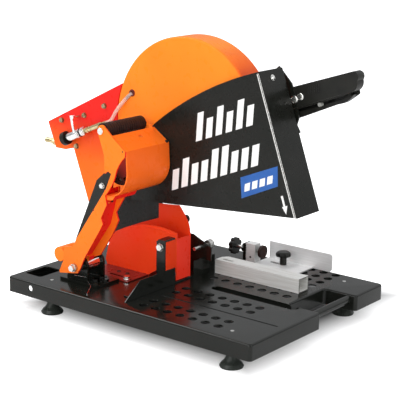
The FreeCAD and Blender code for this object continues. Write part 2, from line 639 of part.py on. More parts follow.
def make_water_feed():
    stub = Part.makeCylinder(6.0, GUARD_NEAR - FEED_Y, FEED_START + FEED_AXIS * 24.0, V(0, 1, 0))
    lever = Part.makeCylinder(3.2, 41.0, V(36, FEED_Y - 6, 303), V(-9.5, 0, 38.5))
    lever_pin = rod_y((32.5, 340.0), 4.0, (FEED_Y - 9, GUARD_NEAR))
    parts["valve_knob"] = joined([feed_rod(16.0, (KNOB_SPAN[0], 8.0)), feed_rod(7.0, (8.0, KNOB_SPAN[1]))])
    parts["valve_body"] = joined([feed_rod(9.5, (KNOB_SPAN[1] + FREE_GAP, 43.0)), stub, lever, lever_pin])
    parts["valve_nuts"] = joined([feed_hex(19.0, (43.0, 52.0)), feed_rod(6.5, (50.0, 60.0)),
                                  feed_hex(19.0, (58.0, 70.0))])
    parts["feed_pipe"] = joined([feed_rod(6.2, (70.0, 126.0)), feed_rod(4.8, (126.0, PIPE_END))])
    inlet = [rod_x(NIPPLE_Y, NIPPLE_Z, NIPPLE_RADIUS, (-88, -20)),
             hexagon(V(-62, NIPPLE_Y, NIPPLE_Z), (1, 0, 0), 17.0, 8.0),
             rod_y((-30.0, NIPPLE_Z), 5.0, (GUARD_NEAR + PLATE_SHEET, NIPPLE_Y))]
    parts["hose_nipple"] = joined(inlet)


make_water_feed()


def hose_path(points, radii):
    """Straight runs joined by tangent arcs, as one wire."""
    edges = []
    here = points[0]
    for corner, before, after, radius in zip(points[1:-1], points[:-2], points[2:], radii):
        back = (before - corner).normalize()
        ahead = (after - corner).normalize()
        half = back.getAngle(ahead) / 2
        start = corner + back * (radius / math.tan(half))
        end = corner + ahead * (radius / math.tan(half))
        middle = corner + (back + ahead).normalize() * (radius / math.sin(half) - radius)
        edges.append(Part.LineSegment(here, start).toShape())
        edges.append(Part.Arc(start, middle, end).toShape())
        here = end
    edges.append(Part.LineSegment(here, points[-1]).toShape())
    return Part.Wire(edges)


def arc_radii(points):
    """The arc at each inner point: 0.45 of its shorter run over the tangent of half its turn."""
    radii = []
    for corner, previous, following in zip(points[1:-1], points[:-2], points[2:]):
        before = corner - previous
        after = following - corner
        radii.append(0.45 * min(before.Length, after.Length) / math.tan(before.getAngle(after) / 2))
    return radii


HOSE_RADIUS = 4.0
hose_points = [FEED_START + FEED_AXIS * PIPE_END, FEED_START + FEED_AXIS * 154.0, V(150.0, 188.5, 360.0),
               V(157.5, 192.5, 374.0), V(166.5, 197.0, 387.0), V(178.0, 200.5, 400.5),
               V(HOSE_ENTRY[0], GUARD_NEAR + 1.0, HOSE_ENTRY[1])]
hose_radii = arc_radii(hose_points)
print("water hose radii:", [round(radius, 1) for radius in hose_radii])
hose_wire = hose_path(hose_points, hose_radii)
hose_ring = Part.Wire([Part.Circle(hose_points[0], hose_points[1] - hose_points[0], HOSE_RADIUS).toShape()])
water_hose = hose_wire.makePipeShell([hose_ring], True, False)
print("water hose volume ratio:", water_hose.Volume / (math.pi * HOSE_RADIUS ** 2 * hose_wire.Length))
parts["water_hose"] = less(water_hose, [parts["feed_pipe"], parts["blade_guard"]])

# ---------------------------------------------------------------- splash shield behind the blade
SHIELD_NEAR = 208.0
SHIELD_FAR = 257.0
SHIELD_FRONT = 317.0
SHIELD_SHEET = 2.5
SHIELD_KNOB = (297.0, 132.0)
POST_TOP = 104.0
POST_SHEET = 4.0


def make_shield():
    near_outline = [(106, 14), (118, 60), (137, 85), (218, 116, 176, 103), (SHIELD_FRONT, 113, 270, 119),
                    (SHIELD_FRONT, 36), (289, 21), (263, 20), (237, 3.0), (237, 0), (112, 0)]
    far_outline = [(120, 4), (120, 80), (176, 104), (226, 123), (226, 157), (290, 163),
                   (SHIELD_FRONT, 98, 310, 130), (SHIELD_FRONT, 4)]
    near = side_plate(near_outline, (SHIELD_NEAR, SHIELD_NEAR + SHIELD_SHEET))
    far = side_plate(far_outline, (SHIELD_FAR - SHIELD_SHEET, SHIELD_FAR))
    front = box((SHIELD_FRONT - SHIELD_SHEET, SHIELD_FRONT), (SHIELD_NEAR, SHIELD_FAR), (5, 100))
    foot = box((112, 236), (136, SHIELD_NEAR), (0.0, 2.5)).cut(slot_z((165, 207), 158.0, 8.0, (-5, 5)))
    reach = rod_y(PIVOT, SHIELD_REACH, (130, 280))
    return joined([near, far, front, foot]).common(reach)


parts["splash_shield"] = make_shield()
post = [box((300, 324), (158, 162), (3, POST_TOP)), box((304, 324), (158, 194), (POST_TOP, POST_TOP + POST_SHEET)),
        box((300, FENCE_X[0]), (134, 162), (3, 3 + POST_SHEET))]
post_notch = box((FENCE_X[0], 330), (150, 170), (0, FENCE_HEIGHT))
parts["shield_post"] = joined(post).cut(post_notch)
knob_stem = rod_y(SHIELD_KNOB, 4.0, (SHIELD_FAR + FREE_GAP, 261.0))
parts["shield_knob"] = joined([knob_stem, rod_y(SHIELD_KNOB, 9.0, (261.0, 267.0))])

FRAME_BOLT = 8.0
frame_bolts = [bolt(V(x, y, BRACKET_BASE), (0, 0, 1), FRAME_BOLT, 12.0) for x, y in BRACKET_BOLTS]
frame_bolts += [bolt(V(PIVOT[0], SHAFT_SPAN[0], PIVOT[1]), (0, -1, 0), FRAME_BOLT),
                bolt(V(PIVOT[0], SHAFT_SPAN[1], PIVOT[1]), (0, 1, 0), FRAME_BOLT),
                bolt(V(222.0, 150.0, 2.5), (0, 0, 1), FRAME_BOLT),
                bolt(V(312.0, 158.0, 92.0), (0, -1, 0), FRAME_BOLT)]
parts["frame_bolts"] = Part.makeCompound(frame_bolts)

# ---------------------------------------------------------------- guide bar
BAR_X = (339.0, 567.0)
BAR_Y = (320.0, 357.0)
BAR_HEIGHT = 33.0
BAR_WALL = 2.5
LIFT_OFF = 0.3
bar = box(BAR_X, BAR_Y, (LIFT_OFF, BAR_HEIGHT))
bar_room = box((BAR_X[0] - 1, BAR_X[1] + 1), (BAR_Y[0] + BAR_WALL, BAR_Y[1] - BAR_WALL),
               (LIFT_OFF + BAR_WALL, BAR_HEIGHT - BAR_WALL))
bar_corner = flat_plate([(338, 343), (338, 358), (349, 358)], (-1, 40))
parts["guide_bar"] = less(bar, [bar_room, bar_corner, slot_z((352, 380), 334.0, 7.0, (20, 40))])

# ---------------------------------------------------------------- side fence and its clamp knob
FENCE_PLATE = 3.0
PLATE_Y = (497.0, 500.0)
STUD = (425.0, 468.0)
STUD_RADIUS = 4.0
FENCE_TRAVEL = 30.0
upright = side_plate([(366, LIFT_OFF), (533, LIFT_OFF), (539, 6), (539, 37), (533, 43, 537.2, 41.2), (366, 43)],
                     PLATE_Y)
fence_base = box((366, 489), (436, PLATE_Y[0]), (LIFT_OFF, LIFT_OFF + FENCE_PLATE))
fence_slot = slot_z((STUD[0] - FENCE_TRAVEL - 5, STUD[0] + 5), STUD[1], 9.0, (-1, 6))
parts["side_fence"] = joined([upright, fence_base]).cut(fence_slot)
base_tray = base_tray.cut(rod_z(STUD[0], STUD[1], STUD_RADIUS + RUNNING_FIT, (-10, 5)))


def make_fence_knob():
    foot = LIFT_OFF + FENCE_PLATE + 0.3
    profile = [(0, -12), (STUD_RADIUS, -12), (STUD_RADIUS, foot), (8, foot), (8, 17), (6.5, 22), (17, 24),
               (18, 28), (16.5, 32), (12.5, 34.5), (0, 35)]
    flutes = [rod_z(*on_circle(STUD, 20.0, 45 * lobe), 4.2, (21, 40)) for lobe in range(8)]
    return less(turned(profile, *STUD), flutes)


parts["fence_knob"] = make_fence_knob()

# ---------------------------------------------------------------- end stop with a hand wheel
STOP_Y = 447.0
STOP_Z = 30.0
STOP_SCREW = 5.0
STOP_TRAVEL = 12.0
WHEEL_X = (296.0, 306.0)
stop_hole = rod_x(STOP_Y, STOP_Z, STOP_SCREW + RUNNING_FIT, (310, 380))
stop_foot = box((318, 340), (436, 460), (0, 4))
stop_upright = box((332, 340), (436, 460), (0, 44))
stop_nut = hexagon(V(325.0, STOP_Y, STOP_Z), (1, 0, 0), 17.0, 7.0)
parts["stop_bracket"] = joined([stop_foot, stop_upright, stop_nut]).cut(stop_hole)
stop_block = box((340, 366), (437, 459), (0, 46))
parts["stop_block"] = less(stop_block, [stop_hole, rod_y((353, 14), 2.5, (430, 441))])
parts["stop_screw"] = rod_x(STOP_Y, STOP_Z, STOP_SCREW, (WHEEL_X[0], 381.0))
wheel_flutes = []
for lobe in range(8):
    flute_y, flute_z = on_circle((STOP_Y, STOP_Z), 22.5, 45 * lobe)
    wheel_flutes.append(rod_x(flute_y, flute_z, 5.0, (290, 310)))
wheel = rod_x(STOP_Y, STOP_Z, 20.0, WHEEL_X)
parts["stop_wheel"] = less(wheel, wheel_flutes + [rod_x(STOP_Y, STOP_Z, STOP_SCREW, (290, 310))])
pad_socket = rod_x(STOP_Y, STOP_Z, STOP_SCREW + RUNNING_FIT, (370, 381 + FREE_GAP))
parts["stop_pad"] = rod_x(STOP_Y, STOP_Z, 15.0, (377.0, 384.0)).cut(pad_socket)

parts["base_tray"] = base_tray

# ---------------------------------------------------------------- place and export
whole = Part.makeCompound(list(parts.values())).optimalBoundingBox(False)
SHIFT = V(-(whole.XMin + whole.XMax) / 2, -(whole.YMin + whole.YMax) / 2, TABLE_HEIGHT)
print("shift:", round(SHIFT.x, 3), round(SHIFT.y, 3), round(SHIFT.z, 3))
print("size:", round(whole.XLength, 1), round(whole.YLength, 1), round(whole.ZLength, 1))
for name, shape in parts.items():
    placed = shape.copy()
    placed.translate(SHIFT)
    if not placed.isValid():
        print("not valid:", name)
    placed.exportStep("parts/" + name + ".step")
print(len(parts), "parts")
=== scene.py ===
"""The looks of the bench cut-off saw: finishes, rounded sheet-metal edges, trim, floor, light and camera.

Everything is in metres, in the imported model's frame: +X towards the operator, +Y to the handle side and
+Z up. Places on the machine are given to at() in millimetres from the tray's rear near corner.
"""
import json
import math

import bmesh
import bpy
from mathutils import Matrix, Vector

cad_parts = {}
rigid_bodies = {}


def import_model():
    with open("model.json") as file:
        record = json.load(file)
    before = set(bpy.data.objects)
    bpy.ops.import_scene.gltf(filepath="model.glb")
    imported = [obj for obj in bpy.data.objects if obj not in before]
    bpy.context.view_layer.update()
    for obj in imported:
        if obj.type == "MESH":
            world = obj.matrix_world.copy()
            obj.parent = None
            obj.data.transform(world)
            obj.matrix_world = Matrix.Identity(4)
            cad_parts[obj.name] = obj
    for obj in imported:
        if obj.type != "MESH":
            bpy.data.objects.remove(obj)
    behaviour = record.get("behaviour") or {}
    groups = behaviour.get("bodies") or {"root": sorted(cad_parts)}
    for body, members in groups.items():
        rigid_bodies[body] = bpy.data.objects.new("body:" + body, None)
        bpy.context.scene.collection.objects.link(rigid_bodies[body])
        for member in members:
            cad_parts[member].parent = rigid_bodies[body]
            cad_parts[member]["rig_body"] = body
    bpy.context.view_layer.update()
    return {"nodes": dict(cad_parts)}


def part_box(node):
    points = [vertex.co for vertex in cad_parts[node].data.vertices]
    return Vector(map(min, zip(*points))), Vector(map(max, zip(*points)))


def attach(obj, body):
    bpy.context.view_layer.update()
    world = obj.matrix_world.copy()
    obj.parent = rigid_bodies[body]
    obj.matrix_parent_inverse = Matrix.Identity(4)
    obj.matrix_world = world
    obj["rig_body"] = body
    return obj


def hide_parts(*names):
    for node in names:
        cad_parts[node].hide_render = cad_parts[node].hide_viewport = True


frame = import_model()

MM = 0.001
TRAY_LOW, TRAY_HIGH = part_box("base_tray")


def at(x, y, z):
    """A point given in millimetres from the tray's rear near corner, at the height of its top."""
    return Vector((TRAY_LOW.x + x * MM, TRAY_LOW.y + y * MM, TRAY_HIGH.z + z * MM))


# ---------------------------------------------------------------- finishes
CLOUD_BAND = (0.35, 0.65)
GRAIN_BAND = (0.3, 0.7)
DUST_BAND = (0.35, 0.7)
SHADE_BAND = (0.0, 0.7)
FRONT_SHADE_BAND = (0.7, 0.9)
PEEL_SCALE = 160.0
PEEL_HEIGHT = 0.00004
PEEL_STRENGTH = 0.2


class Finish:
    """A Principled material whose colour, roughness and relief come from procedural patterns."""

    def __init__(self, name, roughness, metallic=0.0, specular=0.5, coat=0.0, transmission=0.0, ior=1.5):
        self.material = bpy.data.materials.new(name)
        self.material.use_nodes = True
        self.tree = self.material.node_tree
        self.shader = self.tree.nodes["Principled BSDF"]
        self.shader.inputs["Roughness"].default_value = roughness
        self.shader.inputs["Metallic"].default_value = metallic
        self.shader.inputs["Specular IOR Level"].default_value = specular
        self.shader.inputs["Coat Weight"].default_value = coat
        self.shader.inputs["Coat Roughness"].default_value = 0.08
        self.shader.inputs["Transmission Weight"].default_value = transmission
        self.shader.inputs["IOR"].default_value = ior
        self.place = self.tree.nodes.new("ShaderNodeTexCoord")

    def node(self, kind, **settings):
        made = self.tree.nodes.new(kind)
        for key, value in settings.items():
            setattr(made, key, value)
        return made

    def link(self, source, target):
        self.tree.links.new(source, target)

    def noise(self, scale, detail=3.0, stretch=(1.0, 1.0, 1.0)):
        """Noise over the piece's own rest position, with scale in features per metre."""
        mapping = self.node("ShaderNodeMapping")
        mapping.inputs["Scale"].default_value = stretch
        self.link(self.place.outputs["Object"], mapping.inputs["Vector"])
        pattern = self.node("ShaderNodeTexNoise")
        pattern.inputs["Scale"].default_value = scale
        pattern.inputs["Detail"].default_value = detail
        self.link(mapping.outputs["Vector"], pattern.inputs["Vector"])
        return pattern.outputs["Fac"]

    def along(self, output, direction):
        """The rest position ("Object") or the face's direction ("Normal") measured along a direction."""
        dot = self.node("ShaderNodeVectorMath", operation="DOT_PRODUCT")
        self.link(self.place.outputs[output], dot.inputs[0])
        dot.inputs[1].default_value = direction
        return dot.outputs["Value"]

    def both(self, first, second):
        product = self.node("ShaderNodeMath", operation="MULTIPLY")
        self.link(first, product.inputs[0])
        self.link(second, product.inputs[1])
        return product.outputs["Value"]

    def spread(self, source, low, high, out_low=0.0, out_high=1.0):
        """The source's values between low and high, spread over out_low to out_high."""
        ranged = self.node("ShaderNodeMapRange")
        self.link(source, ranged.inputs["Value"])
        for key, value in zip(("From Min", "From Max", "To Min", "To Max"), (low, high, out_low, out_high)):
            ranged.inputs[key].default_value = value
        return ranged.outputs["Result"]

    def blend(self, factor, first, second):
        """Two colours mixed by factor. Each is an (r, g, b) or another mix's output."""
        mixed = self.node("ShaderNodeMix", data_type="RGBA")
        self.link(factor, mixed.inputs["Factor"])
        for socket, colour in zip(("A", "B"), (first, second)):
            target = [s for s in mixed.inputs if s.name == socket and s.type == "RGBA"][0]
            if isinstance(colour, tuple):
                target.default_value = (*colour, 1.0)
            else:
                self.link(colour, target)
        return [s for s in mixed.outputs if s.type == "RGBA"][0]

    def colour(self, source):
        self.link(source, self.shader.inputs["Base Color"])

    def rough(self, source):
        self.link(source, self.shader.inputs["Roughness"])

    def relief(self, source, height, strength=1.0):
        """Bump of that height in metres."""
        bump = self.node("ShaderNodeBump")
        bump.inputs["Strength"].default_value = strength
        bump.inputs["Distance"].default_value = height
        self.link(source, bump.inputs["Height"])
        self.link(bump.outputs["Normal"], self.shader.inputs["Normal"])


def enamel(name, tint, deep, roughness, specular, coat):
    """Sprayed enamel: two close tints in soft clouds, orange peel and fine dulling."""
    made = Finish(name, roughness, specular=specular, coat=coat)
    made.colour(made.blend(made.spread(made.noise(9.0, 2.0), *CLOUD_BAND), tint, deep))
    made.rough(made.spread(made.noise(60.0, 4.0), *GRAIN_BAND, roughness * 0.8, roughness * 1.25))
    made.relief(made.noise(PEEL_SCALE, 0.0), PEEL_HEIGHT, PEEL_STRENGTH)
    return made.material


# Painted shade: faces turned along SHADE_SIDE take the shaded colour in orange().
SHADE_SIDE = (0.93, 0.0, -0.36)
FRONT = (1.0, 0.0, 0.0)
UP = (0.0, 0.0, 1.0)


def orange(name, tint, deep, shaded, zone=None):
    """Orange enamel with painted shade: deeper and redder on faces to the front and below, and along a zone.

    A zone is (direction, start, end): painted shade turns the paint from its tint at start to the deep red at
    end.
    """
    made = Finish(name, 0.34, specular=0.12)
    clouds = made.blend(made.spread(made.noise(7.0, 2.0), *CLOUD_BAND), tint, deep)
    toned = made.blend(made.spread(made.along("Normal", SHADE_SIDE), *SHADE_BAND), clouds, shaded)
    if zone:
        direction, start, end = zone
        low = start.dot(Vector(direction))
        high = end.dot(Vector(direction))
        toned = made.blend(made.spread(made.along("Object", direction), low, high), toned, shaded)
    made.colour(toned)
    made.rough(made.spread(made.noise(60.0, 4.0), *GRAIN_BAND, 0.24, 0.38))
    made.relief(made.noise(PEEL_SCALE, 0.0), PEEL_HEIGHT, PEEL_STRENGTH)
    return made.material


def plastic(name, tint, deep, roughness, grain):
    """Moulded plastic or rubber: fine grain and a slightly dusty colour."""
    made = Finish(name, roughness, specular=0.25)
    made.colour(made.blend(made.spread(made.noise(35.0, 5.0), *DUST_BAND), tint, deep))
    made.rough(made.spread(made.noise(90.0, 3.0), *GRAIN_BAND, roughness * 0.85, roughness * 1.15))
    made.relief(made.noise(grain, 2.0), 0.00008, 0.5)
    return made.material


def metal(name, tint, deep, roughness, scale=140.0, stretch=(1.0, 1.0, 1.0), height=0.00003):
    """Bare metal with a faint mottle, or a brushed grain when the noise is stretched."""
    made = Finish(name, roughness, metallic=1.0)
    pattern = made.noise(scale, 4.0, stretch)
    made.colour(made.blend(made.spread(pattern, *GRAIN_BAND), deep, tint))
    made.rough(made.spread(pattern, *GRAIN_BAND, roughness * 1.3, roughness * 0.75))
    made.relief(pattern, height, 0.4)
    return made.material


def dull_aluminium(name, tint, deep, end):
    """Milled or rolled aluminium: part mirror, part pale oxide, drawn out along x, with painted shade
    darkening the faces to the front.
    """
    made = Finish(name, 0.34, metallic=0.25, specular=0.5)
    pattern = made.noise(240.0, 4.0, (0.06, 1.0, 1.0))
    grain = made.blend(made.spread(pattern, *GRAIN_BAND), deep, tint)
    # Painted shade: faces to the front turn to the end colour.
    made.colour(made.blend(made.spread(made.along("Normal", FRONT), *FRONT_SHADE_BAND), grain, end))
    made.rough(made.spread(pattern, *GRAIN_BAND, 0.42, 0.28))
    made.relief(pattern, 0.00003, 0.4)
    return made.material


def clear_hose():
    """Soft clear hose, tinted faint pink as a painted reflection of the paint round it."""
    made = Finish("clear_hose", 0.22, specular=0.5, transmission=0.55, ior=1.35)
    clouds = made.spread(made.noise(55.0, 3.0), *CLOUD_BAND)
    # Painted reflection: the faint pink of the paint round the hose.
    made.colour(made.blend(clouds, (0.99, 0.80, 0.72), (0.97, 0.70, 0.60)))
    made.relief(made.noise(300.0, 2.0), 0.0001, 0.3)
    return made.material


def head_bolts():
    """Bright zinc, with the rear plate's screws dulled to olive."""
    made = Finish("head_bolt_finish", 0.22, metallic=1.0)
    pattern = made.spread(made.noise(140.0, 4.0), *GRAIN_BAND)
    zinc = made.blend(pattern, (0.62, 0.62, 0.58), (0.88, 0.88, 0.86))
    olive = made.blend(pattern, (0.20, 0.15, 0.07), (0.52, 0.44, 0.28))
    rear = made.spread(made.along("Object", FRONT), at(118, 0, 0).x, at(120, 0, 0).x, 1.0, 0.0)
    made.colour(made.blend(rear, zinc, olive))
    made.rough(made.spread(pattern, 0.0, 1.0, 0.26, 0.16))
    return made.material


def fan_cover_soot_and_reflection():
    """Dark enamel with a painted reflection of the housing's red, growing towards its upper front."""
    made = Finish("fan_cover_soot_and_reflection", 0.5, specular=0.15)
    tilt = Vector((0.5, 0.0, 0.86))
    low = at(262, 0, 236).dot(tilt)
    high = at(290, 0, 300).dot(tilt)
    red_reflection_rise = made.spread(made.along("Object", tilt), low, high)
    # Painted reflection: the housing's red, growing towards the upper front.
    mixed = made.blend(red_reflection_rise, (0.030, 0.010, 0.008), (0.70, 0.030, 0.014))
    soot = made.spread(made.noise(30.0, 3.0), *GRAIN_BAND, 0.0, 0.25)
    made.colour(made.blend(soot, mixed, (0.05, 0.012, 0.010)))
    return made.material


def plated_bolts():
    """Bright zinc, with black heads on the four bolts of the pivot bracket."""
    made = Finish("frame_bolt_finish", 0.2, metallic=1.0)
    pattern = made.spread(made.noise(140.0, 4.0), *GRAIN_BAND)
    zinc = made.blend(pattern, (0.62, 0.62, 0.58), (0.86, 0.87, 0.86))
    low = made.spread(made.along("Object", UP), at(0, 0, 20).z, at(0, 0, 23).z, 1.0, 0.0)
    rear = made.spread(made.along("Object", FRONT), at(213, 0, 0).x, at(214, 0, 0).x, 1.0, 0.0)
    made.colour(made.blend(made.both(low, rear), zinc, (0.03, 0.03, 0.028)))
    made.rough(made.spread(pattern, 0.0, 1.0, 0.24, 0.14))
    return made.material


# Painted shade: each orange below is the same paint, and its third colour is that paint as it looks in shade,
# painted on by orange().
PAINT = (1.0, 0.262, 0.020)
PAINT_DEEP = (1.0, 0.225, 0.016)
PAINT_SHADED = (0.86, 0.040, 0.014)
ORANGE = orange("orange_enamel", PAINT, PAINT_DEEP, PAINT_SHADED)
# Painted shade: the arm's web, facing front and down, takes the deep red shaded colour.
ARM_ORANGE = orange("arm_enamel", (1.0, 0.215, 0.016), (1.0, 0.190, 0.014), (0.86, 0.018, 0.012))
# Painted shade: the housing's paint also turns to its shaded colour towards the bottom.
WRAP_ORANGE = orange("housing_enamel", (1.0, 0.195, 0.016), (1.0, 0.170, 0.014), (0.98, 0.150, 0.015),
                     (UP, at(0, 0, 262), at(0, 0, 150)))
# Painted shade: the rear plate's paint turns deep red towards its top.
PLATE_PAINTED_SHADE = orange("rear_plate_painted_shade", (1.0, 0.185, 0.014), (1.0, 0.160, 0.012), (0.84, 0.020, 0.014),
                   (UP, at(0, 0, 235), at(0, 0, 335)))
# Painted shade: the shield has the same orange paint, painted red all over for the shade it lies in under the
# head.
SHIELD_PAINTED_SHADE = orange("shield_painted_shade", (1.0, 0.066, 0.014), (1.0, 0.050, 0.013), (1.0, 0.045, 0.020))
# Painted reflection: the shield's foot is painted the dark red of the shield's reflection in the glossy tray.
SHIELD_FOOT_PAINTED_REFLECTION = orange("shield_foot_painted_reflection", (0.24, 0.022, 0.016), (0.17, 0.016, 0.012), (0.14, 0.012, 0.010))
BLACK = enamel("black_enamel", (0.009, 0.010, 0.008), (0.006, 0.007, 0.005), 0.20, 0.25, 0.10)
COVER_BLACK = enamel("cover_enamel", (0.013, 0.013, 0.011), (0.009, 0.010, 0.008), 0.28, 0.20, 0.0)
PLASTIC = plastic("black_plastic", (0.014, 0.014, 0.011), (0.008, 0.008, 0.007), 0.34, 1500.0)
FOOT_BLACK = plastic("foot_plastic", (0.040, 0.046, 0.040), (0.022, 0.026, 0.022), 0.28, 1100.0)
RUBBER = plastic("dark_rubber", (0.034, 0.013, 0.010), (0.014, 0.008, 0.007), 0.55, 1100.0)
WHITE = plastic("white_plastic", (0.86, 0.86, 0.82), (0.78, 0.78, 0.74), 0.35, 1500.0)
BUTTON_GREY = plastic("grey_plastic", (0.30, 0.30, 0.28), (0.22, 0.22, 0.20), 0.35, 1500.0)
PRINT_WHITE = plastic("white_print", (0.92, 0.92, 0.90), (0.86, 0.86, 0.84), 0.40, 900.0)
PRINT_BLUE = plastic("blue_print", (0.030, 0.125, 0.42), (0.024, 0.105, 0.37), 0.38, 900.0)
GROMMET_RED = plastic("dark_red_rubber", (0.16, 0.012, 0.010), (0.09, 0.008, 0.007), 0.45, 1100.0)
ZINC = metal("bright_zinc", (0.93, 0.93, 0.91), (0.72, 0.72, 0.68), 0.16)
STEEL = metal("machined_steel", (0.66, 0.66, 0.65), (0.46, 0.45, 0.43), 0.30)
# Painted shade: the last colour of each is the shade painted on faces to the front.
BRUSHED = dull_aluminium("brushed_aluminium", (0.92, 0.92, 0.90), (0.72, 0.71, 0.67), (0.10, 0.10, 0.09))
GALVANISED = dull_aluminium("rolled_sheet", (0.95, 0.95, 0.95), (0.84, 0.84, 0.83), (0.60, 0.60, 0.59))
BRASS = metal("aged_brass", (0.80, 0.66, 0.38), (0.46, 0.37, 0.18), 0.26, 90.0)
CHROME = metal("bright_chrome", (0.97, 0.97, 0.96), (0.86, 0.86, 0.85), 0.13)
COPPER = metal("copper_winding", (0.85, 0.42, 0.22), (0.55, 0.24, 0.12), 0.35, 700.0)
HOSE = clear_hose()
BOLT_FINISH = plated_bolts()

CAD_FINISH = {
    "orange_paint": ORANGE, "black_paint": BLACK, "black_plastic": PLASTIC, "white_plastic": WHITE,
    "rubber": RUBBER, "bright_steel": ZINC, "steel": STEEL, "aluminium": BRUSHED,
    "copper_winding": COPPER, "brass": BRASS, "clear_hose": HOSE,
}


def give(piece, material):
    piece.data.materials.clear()
    piece.data.materials.append(material)


slot_of = {}
for name, node in frame["nodes"].items():
    slot_of[name] = node.data.materials[0].name.split(".")[0]
    give(node, CAD_FINISH[slot_of[name]])

# ---------------------------------------------------------------- rounded copies of the CAD pieces
WELD_DISTANCE = 0.000002
FLAT_ANGLE = math.radians(0.4)
SHARP_ANGLE = math.radians(32.0)


def rounded(node, name, radius, material, steps=2):
    """Stands for a CAD node: its flat faces merged and its sharp edges rounded over by radius."""
    source = frame["nodes"][node]
    mesh = source.data.copy()
    mesh.name = name
    if "custom_normal" in mesh.attributes:
        mesh.attributes.remove(mesh.attributes["custom_normal"])
    work = bmesh.new()
    work.from_mesh(mesh)
    bmesh.ops.remove_doubles(work, verts=work.verts, dist=WELD_DISTANCE)
    bmesh.ops.dissolve_limit(work, angle_limit=FLAT_ANGLE, verts=work.verts, edges=work.edges)
    for face in work.faces:
        face.smooth = True
    work.to_mesh(mesh)
    work.free()
    piece = bpy.data.objects.new(name, mesh)
    bpy.context.scene.collection.objects.link(piece)
    give(piece, material)
    bevel = piece.modifiers.new("rounding", "BEVEL")
    bevel.width = radius
    bevel.segments = steps
    bevel.limit_method = "ANGLE"
    bevel.angle_limit = SHARP_ANGLE
    bevel.harden_normals = True
    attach(piece, source["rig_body"])
    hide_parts(node)
    return piece


rounded("blade_guard", "guard_shell", 0.8 * MM, ORANGE)
rounded("rear_plate", "rear_plate_sheet", 0.8 * MM, PLATE_PAINTED_SHADE)
rounded("motor_housing", "motor_wrap", 0.8 * MM, WRAP_ORANGE)
rounded("swing_arm", "arm_weldment", 0.8 * MM, ARM_ORANGE)
shield = rounded("splash_shield", "shield_sheet", 0.7 * MM, SHIELD_PAINTED_SHADE)
rounded("spring_drum", "spring_cup", 1.6 * MM, ORANGE, 3)
rounded("base_tray", "tray_pan", 0.8 * MM, BLACK)
rounded("blade_cover", "cover_shell", 0.6 * MM, COVER_BLACK)
rounded("far_cover", "far_cover_sheet", 0.6 * MM, COVER_BLACK)
rounded("rear_fence", "fence_walls", 0.7 * MM, BLACK)
rounded("pivot_bracket", "pivot_ears", 0.9 * MM, BLACK)
rounded("arm_brace", "brace_bar", 0.8 * MM, BLACK)
rounded("shield_post", "post_angle", 0.7 * MM, BLACK)
rounded("handle_bracket", "handle_plate", 0.7 * MM, BLACK)
rounded("handle_grip", "grip_body", 2.0 * MM, PLASTIC, 4)
rounded("guide_bar", "guide_section", 0.7 * MM, BRUSHED)
rounded("side_fence", "fence_angle", 0.8 * MM, GALVANISED)
rounded("head_screws", "head_hex_screws", 0.5 * MM, head_bolts())
rounded("frame_bolts", "frame_hex_bolts", 0.6 * MM, BOLT_FINISH)
rounded("stop_block", "stop_jaw", 2.5 * MM, GALVANISED, 3)
rounded("carry_grip_bar", "carry_bolt", 1.2 * MM, ZINC, 3)
rounded("valve_knob", "valve_cap", 1.5 * MM, PLASTIC, 3)
rounded("valve_body", "valve_tee", 0.5 * MM, CHROME)
rounded("motor_fan_cover", "fan_end_cover", 0.8 * MM, fan_cover_soot_and_reflection())

for name, material in (("foot_cups", FOOT_BLACK), ("pivot_sleeve", CHROME), ("valve_nuts", CHROME),
                       ("lock_button", BUTTON_GREY)):
    give(frame["nodes"][name], material)

# Painted reflection: the shield's faces below FOOT_TOP take the foot's dark red, standing in for the shield's
# reflection in the tray.
shield.data.materials.append(SHIELD_FOOT_PAINTED_REFLECTION)
FOOT_TOP = at(0, 0, 4).z
for face in shield.data.polygons:
    if max(shield.data.vertices[corner].co.z for corner in face.vertices) < FOOT_TOP:
        face.material_index = 1


# ---------------------------------------------------------------- small turned, flat and drawn pieces
def add_piece(name, data, material, body):
    piece = bpy.data.objects.new(name, data)
    bpy.context.scene.collection.objects.link(piece)
    give(piece, material)
    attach(piece, body)
    return piece


def turned(name, base, axis, profile, material, body, sides=32):
    """A solid of revolution. The profile is a closed ring of (radius, height) in mm, from base along axis."""
    turn = Vector((0, 0, 1)).rotation_difference(Vector(axis))
    work = bmesh.new()
    rings = []
    for side in range(sides):
        angle = 2 * math.pi * side / sides
        rings.append([work.verts.new(base + turn @ Vector((radius * MM * math.cos(angle),
                                                           radius * MM * math.sin(angle), height * MM)))
                      for radius, height in profile])
    for side in range(sides):
        here = rings[side]
        ahead = rings[(side + 1) % sides]
        for step in range(len(profile)):
            after = (step + 1) % len(profile)
            work.faces.new((here[step], ahead[step], ahead[after], here[after])).smooth = True
    bmesh.ops.remove_doubles(work, verts=work.verts, dist=WELD_DISTANCE)
    bmesh.ops.recalc_face_normals(work, faces=work.faces)
    mesh = bpy.data.meshes.new(name)
    work.to_mesh(mesh)
    work.free()
    mesh.set_sharp_from_angle(angle=SHARP_ANGLE)
    return add_piece(name, mesh, material, body)


def decal(name, shapes, y, material, body):
    """Flat shapes as thick as a print, on the near side of the plane y.

    Each shape is an outline of (x, z) in mm.
    """
    work = bmesh.new()
    for outline in shapes:
        back = [work.verts.new(at(x, y, z)) for x, z in outline]
        front = [work.verts.new(at(x, y - PRINT_THICKNESS, z)) for x, z in outline]
        work.faces.new(back)
        work.faces.new(front)
        for step in range(len(outline)):
            after = (step + 1) % len(outline)
            work.faces.new((back[step], back[after], front[after], front[step]))
    bmesh.ops.recalc_face_normals(work, faces=work.faces)
    mesh = bpy.data.meshes.new(name)
    work.to_mesh(mesh)
    work.free()
    return add_piece(name, mesh, material, body)


